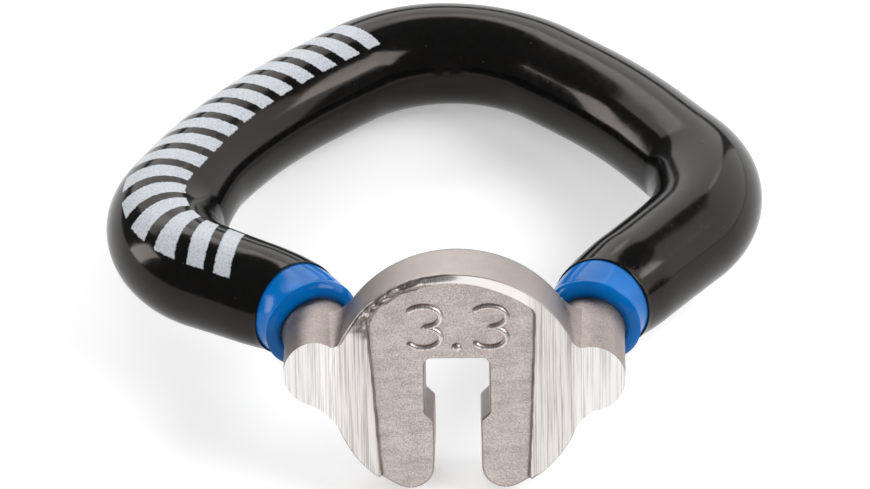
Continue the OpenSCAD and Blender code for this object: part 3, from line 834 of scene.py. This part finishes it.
def rod_piece(head, loop, axis, material):
    """The bare rod: a round tube along the whole axis, ended where it meets the ground face, with both
    ends closed by rings that shrink to the middle."""
    r = loop.rod_d / 2
    c, s = math.cos(loop.loop_tilt), math.sin(loop.loop_tilt)
    phi = np.linspace(-np.pi, np.pi, 120, endpoint=False)[None, :]
    left_x, right_x = -loop.rod_left_x - r * np.sin(phi), loop.rod_x + r * np.sin(phi)
    begin = (ground_depth(head, left_x) + r * np.cos(phi) * s) / c
    end = axis.total - (ground_depth(head, right_x) + r * np.cos(phi) * s) / c
    fine = 7.0
    near = np.linspace(0.01, fine, 60)[:, None]
    middle = np.linspace(0, 1, 92)[1:-1, None]
    run = np.concatenate([begin + near, begin + fine + (end - begin - 2 * fine) * middle, end - near[::-1]])
    tube = tube_points(axis, loop, run, phi, r)
    shrink = np.linspace(0.01, 1, 16)[:, None]

    def cap(x, at):
        """The end's own outline on the ground face, drawn in towards its middle."""
        z = loop.rod_rise + at * s + r * np.cos(phi) * c
        middle_x, middle_z = x.mean(), z.mean()
        ring_x = middle_x + shrink * (x - middle_x)
        return np.stack([ring_x, ground_depth(head, ring_x) + 0.004, middle_z + shrink * (z - middle_z)], -1)
    first, last = cap(left_x, begin), cap(right_x, axis.total - end)[::-1]
    grid = np.concatenate([first, tube, last])
    ground = np.zeros(grid.shape[:2])
    ground[:len(shrink)] = ground[-len(shrink):] = 1.0
    points, faces, caps = swept([head_to_rest(grid)])
    return new_piece("steel_rod", points, faces, {"ground": ground}, caps, sharp=40, material=material)


def braze_piece(name, head, loop, axis, side, material):
    """The brazing beside one rod end: a fillet above the rod and one below it. Each is an arc that touches
    the disc's circle and the rod's, closed by straight lines to two places inside the metal, one behind the
    disc's edge and one where the circles cross, and carried back along the joint while the rod climbs.
    Rings that shrink to a place between them close its front."""
    big, r = head.head_d / 2, loop.rod_d / 2
    c, s = math.cos(loop.loop_tilt), math.sin(loop.loop_tilt)
    front_rings, back_rings = 7, 24
    share_back = np.concatenate([np.zeros(front_rings), np.linspace(0.004, 1, back_rings)])[:, None]
    shrink = np.concatenate([np.linspace(0.03, 1, front_rings), np.ones(back_rings)])[:, None]
    front, rear = ground_depth(head, np.array(side * (big - 0.1))), head.head_t - 0.2
    run = (front + (rear - front) * share_back) / c
    place, _ = walk(axis, run if side < 0 else axis.total - run)
    centre_x, centre_z = np.abs(place[..., 0]), loop.rod_rise + run * s
    rise = centre_z - head.disc_rise
    reach, lean = np.hypot(centre_x, rise), np.arctan2(rise, centre_x)
    line = np.linspace(0, 1, 6)[None, 1:]

    def meeting(way, from_disc, from_rod):
        """Where circles round the disc's centre and round the rod's cross, by the law of cosines."""
        swing = np.arccos(np.clip((from_disc ** 2 + reach ** 2 - from_rod ** 2) / (2 * from_disc * reach), -1, 1))
        return from_disc * np.cos(lean + way * swing), head.disc_rise + from_disc * np.sin(lean + way * swing)
    overlap, behind_drop, under_drop, sunk = 0.03, 0.15, 0.35, 0.008
    grids = []
    for way in (1, -1):
        fillet = 0 * share_back + (loop.fillet_low_left if side < 0 else loop.fillet_low_right)
        if way > 0:
            fillet = loop.fillet_front + (loop.fillet_back - loop.fillet_front) * share_back
        x, z = meeting(way, big + fillet - overlap, r + fillet - overlap)
        cross_x, cross_z = meeting(way, big, r)
        inset = 0.02 + (head.flat_cut if side > 0 else 0.0)
        a = np.arctan2(head.disc_rise - z, -x)
        b = np.arctan2(centre_z - z, centre_x - x)
        sweep = (b - a + np.pi) % (2 * np.pi) - np.pi
        turn = a + sweep * np.linspace(0, 1, 24)[None, :]
        px, pz = x + fillet * np.cos(turn), z + fillet * np.sin(turn)
        behind = px[:, :1] - inset, pz[:, :1] - behind_drop * way
        under = cross_x - inset, cross_z - under_drop * way

        def closed(p, a, b, cross):
            """One coordinate of the arc and of the lines over b and a that close it, shrunk to the middle."""
            ring = np.concatenate([p, p[:, -1:] + (b - p[:, -1:]) * line, b + (a - b) * line,
                                   a + (p[:, :1] - a) * line[:, :-1]], 1)
            middle = 0.3 * (a + b) + 0.4 * cross
            return middle + shrink * (ring - middle)
        px, pz = closed(px, behind[0], under[0], cross_x), closed(pz, behind[1], under[1], cross_z)
        face = ground_depth(head, side * px) + sunk
        grids.append(np.stack([side * px, face + (rear - face) * share_back, pz], -1))
    ground = np.tile(np.repeat(share_back == 0, px.shape[1], 1), (2, 1)).astype(float)
    points, faces, caps = swept(grids)
    return new_piece(name, head_to_rest(points), faces, {"ground": ground}, caps, sharp=40, material=material)


# --- Operators --------------------------------------------------------------------------------

def loop_parts(context):
    """The loop's sizes, the rod's axis and the head's thickness."""
    loop = in_mm(context.scene.wrench_loop_sizes, ("loop_tilt",))
    head_t = context.scene.wrench_head_sizes.head_t / MM
    return loop, rod_axis(loop, head_t), head_t


def round_ripple(phi, waves, seed):
    """A ripple that closes on itself round the rod: the one on a circle whose radius sets how fine it is."""
    return ripple(waves * np.sin(phi), waves * np.cos(phi), seed)


class WRENCH_OT_head(bpy.types.Operator):
    """Builds the cast head with its recess, ground lands and slot, and the raised size on it"""
    bl_idname = "wrench.head"
    bl_label = "Cast Head"

    def execute(self, context):
        head = in_mm(context.scene.wrench_head_sizes)
        colours = context.scene.wrench_finishes
        cast = metal_finish("cast_satin", colours.cast, colours.ground, rough=0.38, line_tone=0.55, side=colours.side)
        casting = head_piece(head, cast)
        mark = mark_piece(head, cast)
        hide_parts("wrench_head")
        for piece in (casting, mark):
            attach(piece, "root")
        return {"FINISHED"}


class WRENCH_OT_rod(bpy.types.Operator):
    """Builds the bare steel rod with its ground ends, and the brazing that joins it to the head"""
    bl_idname = "wrench.rod"
    bl_label = "Rod and Brazing"

    def execute(self, context):
        head = in_mm(context.scene.wrench_head_sizes)
        loop, axis, _ = loop_parts(context)
        colours = context.scene.wrench_finishes
        steel = metal_finish("drawn_steel", colours.rod, colours.rod_end, rough=0.42, line_tone=0.70)
        rod = rod_piece(head, loop, axis, steel)
        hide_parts("core_rod")
        left = braze_piece("braze_fillets_left", head, loop, axis, side=-1, material=steel)
        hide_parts("braze_left")
        right = braze_piece("braze_fillets_right", head, loop, axis, side=1, material=steel)
        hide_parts("braze_right")
        for piece in (rod, left, right):
            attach(piece, "root")
        return {"FINISHED"}


class WRENCH_OT_blue_coat(bpy.types.Operator):
    """Builds the first, blue coat with its rounded, finely beaded and slightly uneven ends"""
    bl_idname = "wrench.blue_coat"
    bl_label = "Blue Coat"

    def execute(self, context):
        loop, axis, head_t = loop_parts(context)
        start = head_t + loop.bare_len - 0.15
        slow, fast = 2.2, 11
        bead_h, bead_at, bead_half, under_bead = 0.06, 0.44, 0.13, 0.03

        def first(phi):
            """The left end, with a slow and a fast ripple."""
            return start + 0.03 * round_ripple(phi, slow, 1.1) + 0.02 * round_ripple(phi, fast, 0.3)

        def last(phi):
            """The right end, with a slow and a fast ripple."""
            end = axis.total - start + 0.10
            return end + 0.04 * round_ripple(phi, slow, 2.7) + 0.02 * round_ripple(phi, fast, 1.8)

        def outer(s, phi, inward):
            """The radius with a bell for the bead behind each end, and a ripple along the rod."""
            uneven = 0.010 * ripple(s * 0.8, 1.2 * np.sin(phi) + np.cos(phi), 0.6)
            return loop.blue_r - under_bead + bead_h * bump(inward, bead_at, bead_half) + uneven
        near = np.linspace(0, 3.4, 60) / axis.total
        stations = np.concatenate([near, np.linspace(0, 1, 180)[14:-14], 1 - near[::-1]])
        coat = coat_piece("blue_coat", axis, loop, first, last, outer, loop.rod_d / 2 + 0.01, loop.blue_round,
                          np.unique(stations), blue_finish(context.scene.wrench_finishes))
        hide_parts("blue_undercoat")
        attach(coat, "root")
        return {"FINISHED"}


class WRENCH_OT_black_coat(bpy.types.Operator):
    """Builds the second, black coat, thicker inside the corners, with its slanted ends and printed bars"""
    bl_idname = "wrench.black_coat"
    bl_label = "Black Coat"

    def execute(self, context):
        loop, axis, head_t = loop_parts(context)
        start = head_t + loop.bare_len + loop.band_len

        slow = 2

        def first(phi):
            """The left end: a slant as a cosine round the rod, with a slow ripple."""
            return start - 0.15 + loop.band_slant * np.cos(phi - 1.0) + 0.03 * round_ripple(phi, slow, 3.1)

        def last(phi):
            """The right end: a slant as a cosine round the rod, with a slow ripple."""
            end = axis.total - start + 0.30
            return end - loop.band_slant * np.cos(phi - 0.8) + 0.03 * round_ripple(phi, slow, 0.9)
        left, back, right = (0.5 * (axis.begin[k] + axis.begin[k + 1]) for k in (3, 7, 11))
        web_reach, web_fade, web_low = 7.2, 6.0, 0.65
        left_h, right_h, back_h, shoulder_h, web_half, thin_len = 0.9, 0.40, 0.17, 0.12, 3.6, 2.4

        def outer(s, phi, inward):
            """The radius with a web inside each corner, a smooth step or bell along the rod times a power of
            how far a place faces inwards, and thinner by a smooth step towards both ends."""
            inner_side = 0.5 - 0.5 * np.sin(phi)
            low_side = 0.5 - 0.5 * np.sin(phi + web_low)
            left_web = smooth((web_reach - np.abs(s - left)) / web_fade) * (0.06 + left_h * low_side ** 4)
            left_web = left_web + bump(s, left + 5.0, 4.0) * shoulder_h * (1 - inner_side)
            right_web = bump(s, right, web_half) * (0.05 + right_h * inner_side ** 3)
            back_web = bump(s, back - 2.6, web_half) * back_h * (1 - inner_side) ** 2
            even = 1 - smooth((left_web + right_web) / 0.25)
            uneven = 0.012 * even * ripple(s * 0.7, 1.5 * np.sin(phi) + np.cos(phi), 1.4)
            thin = loop.black_thin * (1 - smooth(inward / thin_len))
            return loop.black_r + left_web + right_web + back_web + uneven - thin
        coat = coat_piece("black_coat", axis, loop, first, last, outer, loop.blue_r + 0.012, loop.black_round,
                          np.linspace(0, 1, 440), black_finish(context.scene.wrench_finishes))
        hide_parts("black_grip")
        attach(coat, "root")
        return {"FINISHED"}


def panel_light(name, azimuth, elevation, distance, width, height, radiance):
    """A soft panel turned to the wrench, at an azimuth from straight behind towards the right. Its power
    is its radiance times pi times its area."""
    a, e = math.radians(azimuth), math.radians(elevation)
    spot = np.array([math.sin(a) * math.cos(e), math.cos(a) * math.cos(e), math.sin(e)])
    side = np.cross((0.0, 0.0, 1.0), spot)
    side /= np.linalg.norm(side)
    up = np.cross(spot, side)
    place = spot * distance + (0.0, 0.012, 0.0)
    lamp = bpy.data.lights.new(name, "AREA")
    lamp.shape = "RECTANGLE"
    lamp.size, lamp.size_y = width, height
    lamp.energy = radiance * math.pi * width * height
    light = bpy.data.objects.new(name, lamp)
    turn = np.eye(4)
    turn[:3, 0], turn[:3, 1], turn[:3, 2], turn[:3, 3] = side, up, spot, place
    light.matrix_world = Matrix(turn.tolist())
    light.visible_camera = False
    bpy.context.scene.collection.objects.link(light)
    return light


def floor_piece(colours, glow):
    """A level square under the wrench, with an even glow for rays from the camera and from mirrors."""
    spread = np.linspace(-1.5, 1.5, 13)
    x, y = np.meshgrid(spread, spread, indexing="ij")
    clearance = 0.00002
    f = Finish("pale_floor")
    tone = f.mix(f.step(f.noise(60, detail=2.0), 0.3, 0.7), shaded(colours.floor, 0.99), colours.floor)
    path = f.add("ShaderNodeLightPath").outputs
    mirrored = f.math("ADD", path["Is Glossy Ray"], path["Is Transmission Ray"])
    seen = f.math("ADD", path["Is Camera Ray"], mirrored, True)
    f.surface(Base_Color=tone, Roughness=0.9, Specular_IOR_Level=0.0, Emission_Color=(1.0, 1.0, 1.0, 1.0),
              Emission_Strength=f.math("MULTIPLY", seen, glow))
    points = np.stack([x, y, CAD_BOX[0][2] - clearance + 0 * x], -1)
    floor = new_piece("floor", points, grid_faces(*x.shape), material=f.material)
    if floor.data.polygons[0].normal.z < 0:
        floor.data.flip_normals()
    return floor


def soft_room(radiance):
    """White surroundings of one radiance on all sides."""
    world = bpy.data.worlds.new("soft_room")
    world.use_nodes = True
    back = world.node_tree.nodes["Background"]
    back.inputs["Color"].default_value = (1.0, 1.0, 1.0, 1.0)
    back.inputs["Strength"].default_value = radiance
    return world


def photo_camera(stage, loop):
    """The camera, turned in the loop's plane and set back from its origin along the view by the distance,
    and aside so that the origin falls on its pixel: the pixel's way from the image's middle, over the focal
    length, times the distance."""
    e, p, roll, far = stage.elevation, stage.pan, stage.roll, stage.distance
    ahead = np.array([-math.sin(p) * math.cos(e), math.cos(p) * math.cos(e), -math.sin(e)])
    right = np.array([math.cos(p), math.sin(p), 0.0])
    up = np.cross(right, ahead)
    right, up = math.cos(roll) * right + math.sin(roll) * up, math.cos(roll) * up - math.sin(roll) * right
    aside = (LOOP_ORIGIN_PIXEL[0] - IMAGE_SIZE[0] / 2) / FOCAL_PIXELS * far
    above = (IMAGE_SIZE[1] / 2 - LOOP_ORIGIN_PIXEL[1]) / FOCAL_PIXELS * far
    eye = -(ahead * far + right * aside + up * above) / MM
    origin, eye, *turned = (head_to_rest(loop_to_head(d, loop)) for d in (np.zeros(3), eye, right, up, -ahead))
    pose = np.eye(4)
    pose[:3, :3] = np.array([(d - origin) / MM for d in turned]).T
    pose[:3, 3] = eye
    data = bpy.data.cameras.new("photo_camera")
    data.sensor_fit, data.sensor_width = "HORIZONTAL", 36.0
    data.lens = FOCAL_PIXELS / IMAGE_SIZE[0] * data.sensor_width
    data.clip_start, data.clip_end = 0.01, 10.0
    camera = bpy.data.objects.new("photo_camera", data)
    camera.matrix_world = Matrix(pose.tolist())
    bpy.context.scene.collection.objects.link(camera)
    return camera


class WRENCH_OT_stage(bpy.types.Operator):
    """Sets the pale floor, the soft panels of light and the camera"""
    bl_idname = "wrench.stage"
    bl_label = "Stage"

    def execute(self, context):
        scene = context.scene
        stage = scene.wrench_stage
        scene.view_settings.view_transform = "Standard"
        floor = floor_piece(scene.wrench_finishes, stage.floor_glow)
        scene.world = soft_room(stage.world_light)
        for name, radiance, *place in PANELS:
            light = panel_light(name, *place, getattr(stage, radiance))
            light.visible_glossy = name != "fill_panel"
        scene.camera = photo_camera(stage, in_mm(scene.wrench_loop_sizes, ("loop_tilt",)))
        return {"FINISHED"}


STEPS = (WRENCH_OT_head, WRENCH_OT_rod, WRENCH_OT_blue_coat, WRENCH_OT_black_coat, WRENCH_OT_stage)
GROUPS = {"wrench_head_sizes": WrenchHeadSizes, "wrench_loop_sizes": WrenchLoopSizes,
          "wrench_finishes": WrenchFinishes, "wrench_stage": WrenchStage}


class WRENCH_PT_sidebar(bpy.types.Panel):
    """Lists the wrench's pieces and what can be changed on them"""
    bl_idname = "WRENCH_PT_sidebar"
    bl_label = "Spoke Wrench"
    bl_space_type = "VIEW_3D"
    bl_region_type = "UI"
    bl_category = "Spoke Wrench"

    def draw(self, context):
        column = self.layout.column()
        for step in STEPS:
            column.operator(step.bl_idname)
        for key, group in GROUPS.items():
            box = self.layout.box()
            box.label(text=group.__doc__)
            for name in group.__annotations__:
                box.prop(getattr(context.scene, key), name)


CLASSES = (*GROUPS.values(), *STEPS, WRENCH_PT_sidebar)


def register():
    """Registers the classes and hangs the groups of sizes on the scene."""
    for item in CLASSES:
        bpy.utils.register_class(item)
    for key, group in GROUPS.items():
        setattr(bpy.types.Scene, key, bpy.props.PointerProperty(type=group))


def unregister():
    """Takes both away again."""
    for key in GROUPS:
        delattr(bpy.types.Scene, key)
    for item in reversed(CLASSES):
        bpy.utils.unregister_class(item)


def main():
    """Registers the classes, then builds every piece and the stage."""
    register()
    bpy.ops.wrench.head()
    bpy.ops.wrench.rod()
    bpy.ops.wrench.blue_coat()
    bpy.ops.wrench.black_coat()
    bpy.ops.wrench.stage()


if __name__ == "__main__":
    main()
